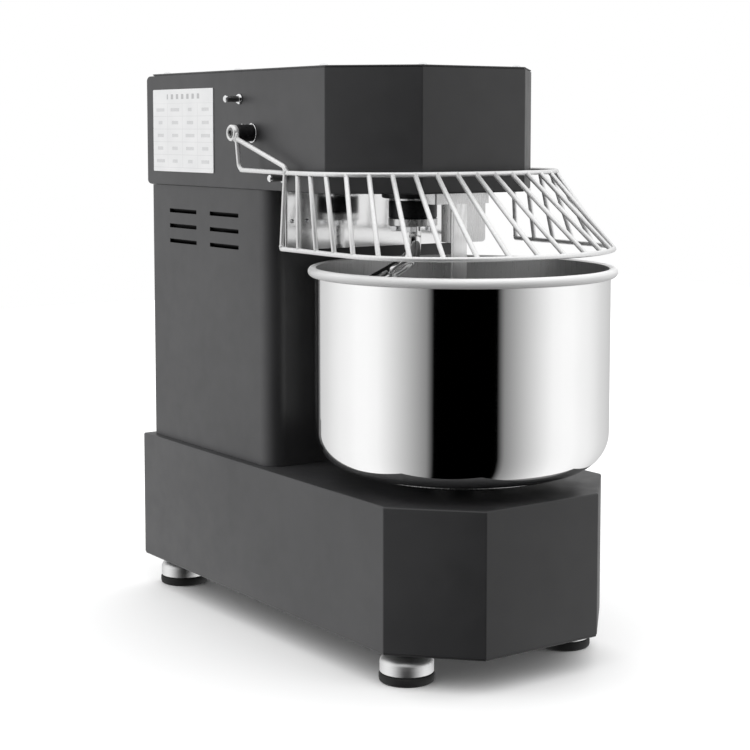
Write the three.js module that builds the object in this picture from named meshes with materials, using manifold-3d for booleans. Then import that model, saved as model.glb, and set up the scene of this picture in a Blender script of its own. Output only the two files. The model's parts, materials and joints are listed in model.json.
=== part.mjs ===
// Spiral dough mixer, 20 litre bench class: painted sheet-steel base, column and head,
// a driven stainless bowl, a coupled spiral hook, a fixed divider bar and a hinged wire guard.
// Millimetres, +Z up, front towards -Y. Origin: centre of the footprint, on the ground.
import * as THREE from 'three';
import { mergeVertices } from 'three/addons/utils/BufferGeometryUtils.js';
import Module from 'manifold-3d';

const wasm = await Module();
wasm.setup();

// ---------- driving dimensions ----------
const GAP = 0.3; // clearance left between touching pieces
const SHEET = 2; // housing sheet thickness

const BASE = { half: 169.7, front: -325.6, rear: 360.4, cutX: 84, cutY: 87, bottom: 41.5, top: 217.9 };
const COLUMN = { half: 157.9, front: 29.6, rear: 343, corner: 25 };
const HEAD = { half: 161.4, front: -191.2, rear: 354.6, cutX: 82.3, cutY: 86.3, bottom: 576, top: 727.3 };
const COVER = { thick: 2.5, rearSetback: 18 };
const REAR_COVER = { setback: 2, slotHalf: 60, slot: 6, heights: [470, 490, 510, 530] };
const VENT = { fronts: [106.2, 218.8], length: 76, heights: [498.6, 519.6, 540.6], slot: 5.6 };
const DRIVE_WELL = { half: 130, front: 59.6, rear: 303 }; // opening between base, column and head
const LABEL = { front: 163, rear: 332, bottom: 595, top: 708, thick: 0.8 };

// The bowl's rolled rim is a tube of radius bead, its middle beadOut outside the wall.
const BOWL = { y: -167.6, r: 182, wall: 2, bottom: 236.3, corner: 47, bead: 6, beadOut: 2.5, beadZ: 480 };
const TURNTABLE = { r: 128, thick: 4.5, hubR: 40, hubBottom: 222, shaftR: 17, shaftBottom: 120 };
const BOWL_BEARING = { bottom: 158, bodyR: 38, neckR: 42.6, holeR: 43, flangeR: 58, flangeTop: 3.2 };
const SPINDLE = { y: -64.4, r: 12.5, top: 705 };
const SPINDLE_BEARING = { bottom: 566, skirtR: 40, neckR: 36, holeR: 36.4, capR: 26, shoulder: 40, top: 650 };
const HUB = { r: 31.5, bottom: 541, top: 564 };
const HOOK = { flange: 10, bar: 10.5, sweep: 62, low: 256, turns: 1.2, startAngle: 155 };
const DIVIDER = { left: -12.25, right: 10.25, front: -164.2, thick: 4.5, low: 254, top: 573 };
const BRACKET = { half: 42, front: -168, rear: -140.2, low: 514, capLow: 562, wingFront: -160, wing: 4 };
const SPLASH = { front: 25.4, half: 135, bend: 2.6, bottom: 499, thick: 1.5 };

const COUNTER = { y: 99.6, r: 10, bottom: 60, top: 705 };
const IDLER = { x: 59, y: -15, r: 10, bottom: 60, top: 170 };
const MOTOR = { y: 249.6, r: 65, bottom: 300, top: 510, shaftR: 9, shaftTop: 632 };
const MOTOR_PLATE = { front: 150, rear: 336, thick: 6 };
const BELT = { z: 610, small: 33, large: 99, width: 13, groove: 9, half: 3.6, depth: 7 };
const PULLEY = { windows: 5, windowR: 20, windowAt: 52, lip: 3 };
const PITCH = 12.7; // roller chain pitch
const TEETH = { spindle: 36, counterTop: 15, counterLow: 12, idlerBig: 48, idlerSmall: 11, bowl: 66 };
const CHAIN_Z = { head: 680, low: 90, bowl: 140 };
const CHAIN_CLEAR = 4; // chain loop stands this far outside the pitch circle
const CHAIN_BAND = 5.5;

const GUARD = { y: 64.2, z: 648.6, shaftR: 6, wire: 3, rods: 22, tip: 190 }; // tip: middle of the wire eyes
const EYE = 8; // width of a wire eye along the shaft
// Rails run straight from back to mid, then round the front; curve 2 is half an ellipse, more is boxier.
const RAIL_TOP = { half: 180, back: -46, mid: -90, depth: 121.5, curve: 2.4, z: 600 };
const RAIL_LOW = { half: 186, back: -46, mid: -191, depth: 147, curve: 2, z: 507 };
const STOP_PIN = { r: 4.5, collarR: 7, collar: 3, tip: 184 };
const STOP_AT = { low: { y: -13, z: 592.6 }, high: { y: 95, z: 692.3 } };
const CAM = { inset: 40, width: 12, half: 14 };
const CAM_SWITCH = { inset: 46, width: 24, half: 14, bottom: 21, top: 50 }; // heights above the guard shaft

const FOOT = { x: 123.2, front: -222, rear: 327, padR: 33.5, pad: 11, cupR: 32.5, cupMid: 25, cupTopR: 27 };
const GLAND = { x: -90, z: 262, threadR: 8, flangeR: 13, mouthR: 4 };
const PANEL = { y: 250, z: 650, halfY: 32, halfZ: 46, thick: 3, spread: 20 };
const BUTTON = { r: 11, length: 7.5, wellR: 12.2, sunk: 0.6 }; // sunk: button's back inside the plate's face

// ---------- geometry helpers ----------
const deg = THREE.MathUtils.degToRad;

function box(x0, x1, y0, y1, z0, z1) {
  const g = new THREE.BoxGeometry(x1 - x0, y1 - y0, z1 - z0);
  return g.translate((x0 + x1) / 2, (y0 + y1) / 2, (z0 + z1) / 2);
}

function shapeOf(points) {
  return new THREE.Shape(points.map(([x, y]) => new THREE.Vector2(x, y)));
}

function prism(points, z0, z1, holes = []) {
  const shape = shapeOf(points);
  shape.holes = holes.map(shapeOf);
  return new THREE.ExtrudeGeometry(shape, { depth: z1 - z0, bevelEnabled: false }).translate(0, 0, z0);
}

// A solid of revolution about a vertical axis; profile is [radius, z] pairs, axis to axis or closed.
function turned(profile, x, y, sides = 18) {
  const points = profile.map(([r, z]) => new THREE.Vector2(r, z));
  return new THREE.LatheGeometry(points, sides).rotateX(Math.PI / 2).translate(x, y, 0);
}

function disc(r, z0, z1, x, y, sides = 18) {
  return turned([[0, z0], [r, z0], [r, z1], [0, z1]], x, y, sides);
}

// Radius that keeps a faceted bore's flats clear of the round shaft inside it.
const boreRadius = (r, sides) => (r + GAP) / Math.cos(Math.PI / sides);

function ring(shaft, outer, z0, z1, x, y, sides = 18) {
  const inner = boreRadius(shaft, sides);
  return turned([[inner, z0], [outer, z0], [outer, z1], [inner, z1], [inner, z0]], x, y, sides);
}

// The same pieces with their axis along X, starting at x0.
function alongX(geometry, x0, y, z) {
  return geometry.rotateY(Math.PI / 2).translate(x0, y, z);
}

function circle(r, x, y, count = 32) {
  return Array.from({ length: count }, (_, i) => {
    const a = (2 * Math.PI * i) / count;
    return [x + r * Math.cos(a), y + r * Math.sin(a)];
  });
}

function wireSection(r, sides) {
  return shapeOf(circle(r, 0, 0, sides));
}

function wire(curve, r, steps, sides = 6) {
  return new THREE.ExtrudeGeometry(wireSection(r, sides), { extrudePath: curve, steps, bevelEnabled: false });
}

function smooth(points) {
  return new THREE.CatmullRomCurve3(points.map((p) => new THREE.Vector3(...p)), false, 'centripetal');
}

function solid(geometry) {
  const bare = geometry.clone();
  bare.deleteAttribute('normal');
  bare.deleteAttribute('uv');
  const merged = mergeVertices(bare, 1e-4);
  return new wasm.Manifold(new wasm.Mesh({
    numProp: 3,
    vertProperties: Float32Array.from(merged.attributes.position.array),
    triVerts: Uint32Array.from(merged.index.array),
  }));
}

function surface(manifold) {
  const mesh = manifold.getMesh();
  const g = new THREE.BufferGeometry();
  g.setAttribute('position', new THREE.BufferAttribute(mesh.vertProperties, 3));
  g.setIndex(new THREE.BufferAttribute(mesh.triVerts, 1));
  g.computeVertexNormals();
  return g;
}

function cut(body, ...tools) {
  return surface(tools.reduce((left, tool) => left.subtract(solid(tool)), solid(body)));
}

function join(...pieces) {
  return surface(pieces.map(solid).reduce((a, b) => a.add(b)));
}

// ---------- outlines ----------
// Rectangle with its two front corners cut off; inset moves every side inwards.
function cutCornerOutline(s, inset = 0) {
  const slant = Math.hypot(s.cutX, s.cutY);
  const dx = inset * ((slant - s.cutX) / s.cutY);
  const dy = inset * ((slant - s.cutY) / s.cutX);
  const [w, f, r] = [s.half - inset, s.front + inset, s.rear - inset];
  return [
    [-w, r], [-w, s.front + s.cutY + dy], [-s.half + s.cutX + dx, f],
    [s.half - s.cutX - dx, f], [w, s.front + s.cutY + dy], [w, r],
  ];
}

// U outline of a sheet bent around two vertical corners, open to the rear.
function uOutline(half, front, rear, radius, thick) {
  const [cx, cy] = [half - radius, front + radius];
  const bend = (r, side) => Array.from({ length: 7 }, (_, i) => {
    const a = (Math.PI / 2) * (side > 0 ? i / 6 : 1 - i / 6);
    return [side * (cx + r * Math.sin(a)), cy - r * Math.cos(a)];
  });
  const edge = (w, r) => [[-w, rear], ...bend(r, -1), ...bend(r, 1), [w, rear]];
  return [...edge(half, radius), ...edge(half - thick, radius - thick).reverse()];
}

// Outline of a belt or chain pulled tight around two circles.
function loopOutline(c1, r1, c2, r2, count = 16) {
  const gap = Math.hypot(c2[0] - c1[0], c2[1] - c1[1]);
  const heading = Math.atan2(c2[1] - c1[1], c2[0] - c1[0]);
  const lean = Math.acos((r1 - r2) / gap);
  const sweep = ([x, y], r, from, to) => Array.from({ length: count }, (_, i) => {
    const step = (to - from) / (count - 1);
    const reach = r / Math.cos(step / 2); // facets stay outside the circle
    return [x + reach * Math.cos(from + step * i), y + reach * Math.sin(from + step * i)];
  });
  return [
    ...sweep(c1, r1, heading + lean, heading + 2 * Math.PI - lean),
    ...sweep(c2, r2, heading - lean, heading + lean),
  ];
}

const pitchRadius = (teeth) => PITCH / (2 * Math.sin(Math.PI / teeth));

// ---------- housings ----------
// Cutter for the opening through which the shafts and belts pass at height z.
function driveWell(z) {
  const { half, front, rear } = DRIVE_WELL;
  return box(-half, half, front, rear, z - 5, z + 5);
}

function baseHousing() {
  const outer = prism(cutCornerOutline(BASE), BASE.bottom, BASE.top);
  const inner = prism(cutCornerOutline(BASE, SHEET), BASE.bottom - 1, BASE.top - SHEET);
  const bowlHole = disc(BOWL_BEARING.holeR, BASE.top - 5, BASE.top + 5, 0, BOWL.y);
  return cut(outer, inner, bowlHole, driveWell(BASE.top));
}

function baseBottomPlate() {
  return prism(cutCornerOutline(BASE, SHEET + GAP), BASE.bottom, BASE.bottom + SHEET + 1);
}

function ventSlots() {
  const far = COLUMN.half + 10;
  return VENT.fronts.flatMap((y) => VENT.heights.map((z) =>
    box(-far, far, y, y + VENT.length, z - VENT.slot / 2, z + VENT.slot / 2)));
}

function columnHousing() {
  const outline = uOutline(COLUMN.half, COLUMN.front, COLUMN.rear, COLUMN.corner, SHEET);
  return cut(prism(outline, BASE.top + GAP, HEAD.bottom - GAP), ...ventSlots());
}

function columnRearCover() {
  const half = COLUMN.half - SHEET - GAP;
  const { setback, slotHalf, slot, heights } = REAR_COVER;
  const [y0, y1] = [COLUMN.rear - setback - SHEET, COLUMN.rear - setback];
  const plate = box(-half, half, y0, y1, BASE.top + GAP, HEAD.bottom - GAP);
  const slots = heights.map((z) => box(-slotHalf, slotHalf, y0 - 5, y1 + 5, z - slot / 2, z + slot / 2));
  const hole = disc(GLAND.threadR + 1.3, -10, 10, 0, 0, 24);
  const glandHole = hole.rotateX(Math.PI / 2).translate(GLAND.x, y1, GLAND.z);
  return cut(plate, ...slots, glandHole);
}

function headHousing() {
  const outer = prism(cutCornerOutline(HEAD), HEAD.bottom, HEAD.top);
  const inner = prism(cutCornerOutline(HEAD, SHEET), HEAD.bottom + SHEET, HEAD.top + 1);
  const spindleHole = disc(SPINDLE_BEARING.holeR, HEAD.bottom - 5, HEAD.bottom + 5, 0, SPINDLE.y);
  const far = HEAD.half + 10;
  const shaftHole = alongX(disc(GUARD.shaftR + 0.5, 0, 2 * far, 0, 0, 20), -far, GUARD.y, GUARD.z);
  return cut(outer, inner, driveWell(HEAD.bottom), spindleHole, shaftHole, ...buttonWells());
}

function headTopCover() {
  const lid = { ...HEAD, rear: HEAD.rear - COVER.rearSetback };
  return prism(cutCornerOutline(lid), HEAD.top + GAP, HEAD.top + GAP + COVER.thick);
}

// Strip that closes the head behind the lid, flush with the tops of the walls it stands between.
function headRearStrip() {
  const [x, rear] = [HEAD.half - SHEET - GAP, HEAD.rear - SHEET - GAP];
  return box(-x, x, HEAD.rear - COVER.rearSetback + GAP, rear, HEAD.top - SHEET, HEAD.top);
}

// Flat stainless cover on the column under the head, folded back along both sides.
function splashCover() {
  const { front, half, bend, bottom, thick } = SPLASH;
  return prism(uOutline(half, front, COLUMN.front - GAP, bend, thick), bottom, HEAD.bottom - GAP);
}

function specLabel() {
  const x = -HEAD.half - GAP;
  return box(x - LABEL.thick, x, LABEL.front, LABEL.rear, LABEL.bottom, LABEL.top);
}

// ---------- guard mounting on the head ----------
function hingeWasher(side) {
  const g = ring(GUARD.shaftR, 12.5, 0, 1.5, 0, 0, 16);
  return alongX(g, side > 0 ? HEAD.half + GAP : -HEAD.half - GAP - 1.5, GUARD.y, GUARD.z);
}

function stopPin(side, at) {
  const start = HEAD.half + GAP;
  const { r, collarR, collar, tip } = STOP_PIN;
  const length = tip - start;
  const profile = [[0, 0], [collarR, 0], [collarR, collar], [r, collar], [r, length], [0, length]];
  const g = turned(profile, 0, 0, 16).rotateY((side * Math.PI) / 2);
  return g.translate(side * start, at.y, at.z);
}

function guardShaft() {
  const reach = GUARD.tip + EYE / 2;
  return alongX(disc(GUARD.shaftR, 0, 2 * reach, 0, 0, 20), -reach, GUARD.y, GUARD.z);
}

function guardHub(side) {
  const [near, far] = [HEAD.half + 2.2, GUARD.tip - EYE / 2 - GAP];
  const g = ring(GUARD.shaftR, 11, 0, far - near, 0, 0, 16);
  return alongX(g, side > 0 ? near : -far, GUARD.y, GUARD.z);
}

function guardCam() {
  const w = CAM.half;
  const outline = [[-w, -w], [w, -w], [w, 6], [6, w + 4], [-6, w + 4], [-w, 6]];
  const bore = circle(boreRadius(GUARD.shaftR, 12), 0, 0, 12);
  return alongX(prism(outline, 0, CAM.width, [bore]), HEAD.half - CAM.inset, GUARD.y, GUARD.z);
}

function guardSwitch() {
  const { inset, width, half, bottom, top } = CAM_SWITCH;
  const x = HEAD.half - inset;
  return box(x, x + width, GUARD.y - half, GUARD.y + half, GUARD.z + bottom, GUARD.z + top);
}

// ---------- guard cage ----------
// Point at a fraction of a rail's length, from its left end round the front to its right end.
function railPoints(rail, count) {
  const dense = [];
  const straight = 30;
  for (let i = 0; i < straight; i += 1) {
    dense.push([-rail.half, rail.back + ((rail.mid - rail.back) * i) / straight]);
  }
  const bulge = (t) => Math.sign(t) * Math.abs(t) ** (2 / rail.curve);
  for (let i = 0; i <= 160; i += 1) {
    const a = (Math.PI * i) / 160;
    dense.push([-rail.half * bulge(Math.cos(a)), rail.mid - rail.depth * bulge(Math.sin(a))]);
  }
  for (let i = 1; i <= straight; i += 1) {
    dense.push([rail.half, rail.mid + ((rail.back - rail.mid) * i) / straight]);
  }
  const path = smoothLine(dense.map(([x, y]) => [x, y, rail.z]));
  return Array.from({ length: count }, (_, i) => path.getPointAt(i / (count - 1)).toArray());
}

function smoothLine(points) {
  const path = new THREE.CurvePath();
  for (let i = 1; i < points.length; i += 1) {
    path.add(new THREE.LineCurve3(new THREE.Vector3(...points[i - 1]), new THREE.Vector3(...points[i])));
  }
  return path;
}

function rod(from, to, r) {
  const path = new THREE.LineCurve3(new THREE.Vector3(...from), new THREE.Vector3(...to));
  return wire(path, r, 1, 5);
}

// Arm wire from the eye: down beside the hub, round a bend and forward into the top rail.
function armPoints(side) {
  const [x, y] = [GUARD.tip, GUARD.y - 9.4];
  return [
    [side * x, y, GUARD.z - 1], [side * x, y, GUARD.z - 28], [side * (x - 2), y - 1, GUARD.z - 40],
    [side * (x - 4), y - 8, RAIL_TOP.z + 2.5], [side * (x - 5), y - 22, RAIL_TOP.z + 1.5],
    [side * RAIL_TOP.half, RAIL_TOP.back + 30, RAIL_TOP.z + 0.6],
  ];
}

function guardEye(side) {
  const g = ring(GUARD.shaftR, 10.5, 0, EYE, 0, 0, 16);
  return alongX(g, side * GUARD.tip - EYE / 2, GUARD.y, GUARD.z);
}

function braceWire(side) {
  const foot = [side * RAIL_TOP.half, RAIL_TOP.back, RAIL_TOP.z + 7];
  const eye = [side * GUARD.tip, GUARD.y - 7.3, GUARD.z - 6.6];
  const end = [side * RAIL_LOW.half, RAIL_LOW.back, RAIL_LOW.z];
  const elbow = new THREE.SphereGeometry(GUARD.wire, 8, 6).translate(...foot);
  return join(rod(eye, foot, GUARD.wire), rod(foot, end, GUARD.wire), elbow);
}

function guardCage() {
  const top = [...armPoints(-1), ...railPoints(RAIL_TOP, 26), ...armPoints(1).reverse()];
  const low = railPoints(RAIL_LOW, 26);
  const count = GUARD.rods;
  const [ends, feet] = [railPoints(RAIL_TOP, count), railPoints(RAIL_LOW, count)];
  const rods = ends.slice(1, -1).map((end, i) => rod(end, feet[i + 1], GUARD.wire));
  return join(wire(smooth(top), GUARD.wire, 44), wire(smooth(low), GUARD.wire, 28),
    guardEye(-1), guardEye(1), braceWire(-1), braceWire(1), ...rods);
}

// ---------- bowl and its drive ----------
function arcProfile(cr, cz, r, from, to, count) {
  return Array.from({ length: count }, (_, i) => {
    const a = deg(from + ((to - from) * i) / (count - 1));
    return [cr + r * Math.cos(a), cz + r * Math.sin(a)];
  });
}

function bowlShell() {
  const { r, wall, bottom, corner, bead, beadOut, beadZ } = BOWL;
  const bend = bottom + corner;
  const meets = (reach) => THREE.MathUtils.radToDeg(Math.acos(reach / bead));
  const profile = [
    [0, bottom], ...arcProfile(r - corner, bend, corner, -90, 0, 6),
    ...arcProfile(r + beadOut, beadZ, bead, meets(beadOut) - 180, 180 - meets(beadOut + wall), 9),
    ...arcProfile(r - corner, bend, corner - wall, 0, -90, 6), [0, bottom + wall],
  ];
  return turned(profile, 0, BOWL.y, 40);
}

function bowlTurntable() {
  const { r, thick, hubR, hubBottom, shaftR, shaftBottom } = TURNTABLE;
  const top = BOWL.bottom - GAP;
  return turned([
    [0, shaftBottom], [shaftR, shaftBottom], [shaftR, hubBottom], [hubR, hubBottom], [hubR, top - thick],
    [r, top - thick], [r, top], [0, top],
  ], 0, BOWL.y, 30);
}

function bowlBearing() {
  const { bottom, bodyR, neckR, flangeR, flangeTop } = BOWL_BEARING;
  const bore = boreRadius(TURNTABLE.shaftR, 18);
  const top = BASE.top;
  return turned([
    [bore, bottom], [bodyR, bottom], [bodyR, top - 1], [neckR, top - 1], [neckR, top + GAP],
    [flangeR, top + GAP], [flangeR, top + flangeTop], [bore, top + flangeTop], [bore, bottom],
  ], 0, BOWL.y);
}

// Chain wheel: two outline points to a tooth, bored for its shaft.
function sprocket(teeth, shaft, x, y, z, hub = 0) {
  const r = pitchRadius(teeth);
  const outline = Array.from({ length: teeth * 2 }, (_, i) => {
    const a = (Math.PI * i) / teeth;
    const reach = i % 2 ? r - 4 : r + 3.4;
    return [x + reach * Math.cos(a), y + reach * Math.sin(a)];
  });
  const plate = prism(outline, z - 3.5, z + 3.5, [circle(boreRadius(shaft, 12), x, y, 12)]);
  return hub ? join(plate, ring(shaft, hub, z - 9, z + 9, x, y, 12)) : plate;
}

function chainLoop(c1, teeth1, c2, teeth2, z) {
  const [r1, r2] = [pitchRadius(teeth1) + CHAIN_CLEAR, pitchRadius(teeth2) + CHAIN_CLEAR];
  const outer = loopOutline(c1, r1 + CHAIN_BAND, c2, r2 + CHAIN_BAND);
  return prism(outer, z - 4, z + 4, [loopOutline(c1, r1, c2, r2)]);
}

function keyedShaft(r, x, y, z0, z1) {
  return turned([[0, z0], [r - 1, z0], [r, z0 + 1], [r, z1 - 1], [r - 1, z1], [0, z1]], x, y, 12);
}

// ---------- spindle, hook and divider ----------
function spindleBearing() {
  const { bottom, skirtR, neckR, capR, shoulder, top } = SPINDLE_BEARING;
  const bore = boreRadius(SPINDLE.r, 18);
  const [under, step] = [HEAD.bottom - GAP, HEAD.bottom + shoulder];
  return turned([
    [bore, bottom], [skirtR, bottom], [skirtR, under], [neckR, under], [neckR, step], [capR, step + 6],
    [capR, top], [bore, top], [bore, bottom],
  ], 0, SPINDLE.y);
}

function spiralHub() {
  const bore = boreRadius(SPINDLE.r, 18);
  return turned([
    [bore, HUB.bottom], [HUB.r, HUB.bottom], [HUB.r, HUB.top - 3], [HUB.r - 3, HUB.top],
    [bore, HUB.top], [bore, HUB.bottom],
  ], 0, SPINDLE.y);
}

function spiralHook() {
  const top = HUB.bottom - GAP;
  const flange = disc(HUB.r, top - HOOK.flange, top, 0, SPINDLE.y, 24);
  const coil = [];
  const steps = 18;
  for (let i = 0; i <= steps; i += 1) {
    const t = i / steps;
    const a = deg(HOOK.startAngle + 360 * HOOK.turns * t);
    const reach = HOOK.sweep * (t > 0.85 ? 1 - 2.2 * (t - 0.85) : 1);
    const z = 452 + (HOOK.low + HOOK.bar - 452) * t;
    coil.push([reach * Math.cos(a), SPINDLE.y + reach * Math.sin(a), z]);
  }
  const lean = deg(HOOK.startAngle - 40);
  const path = smooth([
    [0, SPINDLE.y, top - 5], [0, SPINDLE.y, 505], [6 * Math.cos(lean), SPINDLE.y + 6 * Math.sin(lean), 486],
    [34 * Math.cos(lean), SPINDLE.y + 34 * Math.sin(lean), 468], ...coil,
  ]);
  return join(flange, wire(path, HOOK.bar, 56, 8));
}

// Bracket under the head: a cap plate, the block behind the divider bar and a wing to its right.
function dividerSocket() {
  const { half, front, rear, low, capLow, wingFront, wing } = BRACKET;
  const top = HEAD.bottom - GAP;
  const cap = box(-half, half, front, rear, capLow, top);
  const block = box(DIVIDER.left, DIVIDER.right, DIVIDER.front + 1, rear, low, capLow + 1);
  const side = box(DIVIDER.right - 1, half, wingFront, wingFront + wing, low, capLow + 1);
  const inFront = box(-half, half, front - 1, DIVIDER.front + GAP, low - 1, capLow);
  return cut(join(cap, block, side), dividerBlade(GAP), inFront);
}

// The bar, or with reach above zero the slot that clears it.
function dividerBlade(reach = 0) {
  const { left, right, front, thick, low, top } = DIVIDER;
  return box(left - reach, right + reach, front - reach, front + thick + reach, low - reach, top + reach);
}

// ---------- motor and belt drive ----------
function motorBody() {
  const { y, r, bottom, top } = MOTOR;
  return turned([
    [0, bottom], [r - 12, bottom], [r, bottom + 14], [r, top - 8], [r - 8, top], [0, top],
  ], 0, y, 24);
}

function motorPlate() {
  const half = COLUMN.half - SHEET - GAP;
  const z = MOTOR.top + GAP;
  const plate = box(-half, half, MOTOR_PLATE.front, MOTOR_PLATE.rear, z, z + MOTOR_PLATE.thick);
  return cut(plate, disc(MOTOR.shaftR + 6, z - 5, z + 12, 0, MOTOR.y, 20));
}

function groovedPulley(r, shaft, y) {
  const sides = 28;
  const bore = boreRadius(shaft, sides);
  const [z, h] = [BELT.z, BELT.width / 2];
  const [edge, floor] = [h + PULLEY.lip, r - BELT.groove];
  return turned([
    [bore, z - edge], [r, z - edge], [r, z - h], [floor, z - 4], [floor, z + 4], [r, z + h],
    [r, z + edge], [bore, z + edge], [bore, z - edge],
  ], 0, y, sides);
}

// The large pulley, lightened with round windows in its web.
function countershaftPulley() {
  const { windows, windowR, windowAt } = PULLEY;
  const holes = Array.from({ length: windows }, (_, i) => {
    const a = (2 * Math.PI * i) / windows;
    const [x, y] = [windowAt * Math.cos(a), COUNTER.y + windowAt * Math.sin(a)];
    return disc(windowR, BELT.z - 20, BELT.z + 20, x, y, 10);
  });
  return cut(groovedPulley(BELT.large, COUNTER.r, COUNTER.y), ...holes);
}

function driveBelt() {
  const { z, half, large, small, depth } = BELT;
  const [c1, c2] = [[0, COUNTER.y], [0, MOTOR.y]];
  const outer = loopOutline(c1, large - 1, c2, small - 1);
  return prism(outer, z - half, z + half, [loopOutline(c1, large - 1 - depth, c2, small - 1 - depth)]);
}

// ---------- feet, gland and controls ----------
function footPad(x, y) {
  const { padR, pad } = FOOT;
  return turned([[0, 0], [padR - 1.5, 0], [padR, 1.5], [padR, pad], [0, pad]], x, y, 16);
}

function footCup(x, y) {
  const { pad, cupR, cupMid, cupTopR } = FOOT;
  const low = pad + GAP;
  const top = BASE.bottom - GAP;
  return turned([
    [0, low], [cupR, low], [cupR, cupMid], [cupR - 1.5, cupMid + 4], [cupTopR, cupMid + 9],
    [cupTopR - 9, top - 4], [16, top], [0, top],
  ], x, y, 16);
}

function cableGland() {
  const { threadR, flangeR, mouthR } = GLAND;
  const back = COLUMN.rear - REAR_COVER.setback + GAP;
  const profile = [
    [0, -22], [threadR, -22], [threadR, GAP + 0.1], [flangeR, GAP + 0.1], [flangeR, 7], [flangeR - 4, 14],
    [mouthR, 14], [mouthR, 4], [0, 4],
  ];
  return turned(profile, 0, 0, 20).rotateX(-Math.PI / 2).translate(GLAND.x, back, GLAND.z);
}

// Cutters for the holes through the head's wall and the switch plate, wide enough for a pressed button.
function buttonWells() {
  return [1, -1].map((side) => {
    const well = disc(BUTTON.wellR, 0, 20, 0, 0, 16);
    return alongX(well, HEAD.half - 8, PANEL.y, PANEL.z + side * PANEL.spread);
  });
}

function switchPlate() {
  const { y, z, halfY, halfZ, thick } = PANEL;
  const x = HEAD.half + GAP;
  return cut(box(x, x + thick, y - halfY, y + halfY, z - halfZ, z + halfZ), ...buttonWells());
}

function pushButton(side) {
  const { r, length, sunk } = BUTTON;
  const profile = [[0, 0], [r, 0], [r, length - 1.5], [r - 1.5, length], [0, length]];
  return alongX(turned(profile, 0, 0, 16), HEAD.half + GAP + sunk, PANEL.y, PANEL.z + side * PANEL.spread);
}

// ---------- materials ----------
const LOOKS = {
  paint: { color: 0x3a3a3c, roughness: 0.45, metalness: 0.2 },
  stainless: { color: 0xd4d6d8, roughness: 0.12, metalness: 1 },
  wire: { color: 0xdfe1e3, roughness: 0.2, metalness: 1 },
  chrome: { color: 0xe4e6e8, roughness: 0.08, metalness: 1 },
  steel: { color: 0x8d9094, roughness: 0.4, metalness: 0.9 },
  iron: { color: 0x3c3f44, roughness: 0.6, metalness: 0.6 },
  blackPlastic: { color: 0x17181a, roughness: 0.5, metalness: 0 },
  rubber: { color: 0x121212, roughness: 0.85, metalness: 0 },
  label: { color: 0xe9eaea, roughness: 0.5, metalness: 0 },
  green: { color: 0x1f9a48, roughness: 0.35, metalness: 0 },
  red: { color: 0xc3221f, roughness: 0.35, metalness: 0 },
};

// ---------- assembly ----------
const mixer = new THREE.Group();

function add(name, geometry, look) {
  const mesh = new THREE.Mesh(geometry, new THREE.MeshStandardMaterial(LOOKS[look]));
  mesh.name = name;
  mixer.add(mesh);
}

add('base_housing', baseHousing(), 'paint');
add('base_bottom_plate', baseBottomPlate(), 'paint');
add('column_housing', columnHousing(), 'paint');
add('column_rear_cover', columnRearCover(), 'paint');
add('head_housing', headHousing(), 'paint');
add('head_top_cover', headTopCover(), 'paint');
add('head_rear_strip', headRearStrip(), 'paint');
add('splash_cover', splashCover(), 'stainless');
add('spec_label', specLabel(), 'label');

const sides = [['left', -1], ['right', 1]];
for (const [word, side] of sides) {
  add(`hinge_washer_${word}`, hingeWasher(side), 'chrome');
  add(`guard_hub_${word}`, guardHub(side), 'blackPlastic');
  add(`stop_pin_low_${word}`, stopPin(side, STOP_AT.low), 'chrome');
  add(`stop_pin_high_${word}`, stopPin(side, STOP_AT.high), 'chrome');
}
add('guard_cage', guardCage(), 'wire');
add('guard_shaft', guardShaft(), 'steel');
add('guard_cam', guardCam(), 'steel');
add('guard_switch', guardSwitch(), 'blackPlastic');

for (const [end, y] of [['front', FOOT.front], ['rear', FOOT.rear]]) {
  for (const [word, side] of sides) {
    add(`foot_pad_${end}_${word}`, footPad(side * FOOT.x, y), 'rubber');
    add(`foot_cup_${end}_${word}`, footCup(side * FOOT.x, y), 'chrome');
  }
}

add('bowl', bowlShell(), 'stainless');
add('bowl_turntable', bowlTurntable(), 'stainless');
add('bowl_bearing', bowlBearing(), 'iron');
add('bowl_sprocket', sprocket(TEETH.bowl, TURNTABLE.shaftR, 0, BOWL.y, CHAIN_Z.bowl, 28), 'steel');
const bowlAt = [0, BOWL.y];
const idlerAt = [IDLER.x, IDLER.y];
const counterAt = [0, COUNTER.y];
const spindleAt = [0, SPINDLE.y];
add('bowl_chain', chainLoop(bowlAt, TEETH.bowl, idlerAt, TEETH.idlerSmall, CHAIN_Z.bowl), 'iron');

add('idler_shaft', keyedShaft(IDLER.r, IDLER.x, IDLER.y, IDLER.bottom, IDLER.top), 'steel');
add('idler_sprocket_large', sprocket(TEETH.idlerBig, IDLER.r, IDLER.x, IDLER.y, CHAIN_Z.low, 20), 'steel');
add('idler_sprocket_small', sprocket(TEETH.idlerSmall, IDLER.r, IDLER.x, IDLER.y, CHAIN_Z.bowl), 'steel');
add('lower_chain', chainLoop(idlerAt, TEETH.idlerBig, counterAt, TEETH.counterLow, CHAIN_Z.low), 'iron');

add('countershaft', keyedShaft(COUNTER.r, 0, COUNTER.y, COUNTER.bottom, COUNTER.top), 'steel');
add('countershaft_sprocket_low', sprocket(TEETH.counterLow, COUNTER.r, 0, COUNTER.y, CHAIN_Z.low), 'steel');
add('countershaft_sprocket_top', sprocket(TEETH.counterTop, COUNTER.r, 0, COUNTER.y, CHAIN_Z.head), 'steel');
add('countershaft_pulley', countershaftPulley(), 'iron');
add('head_chain', chainLoop(spindleAt, TEETH.spindle, counterAt, TEETH.counterTop, CHAIN_Z.head), 'iron');

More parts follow.
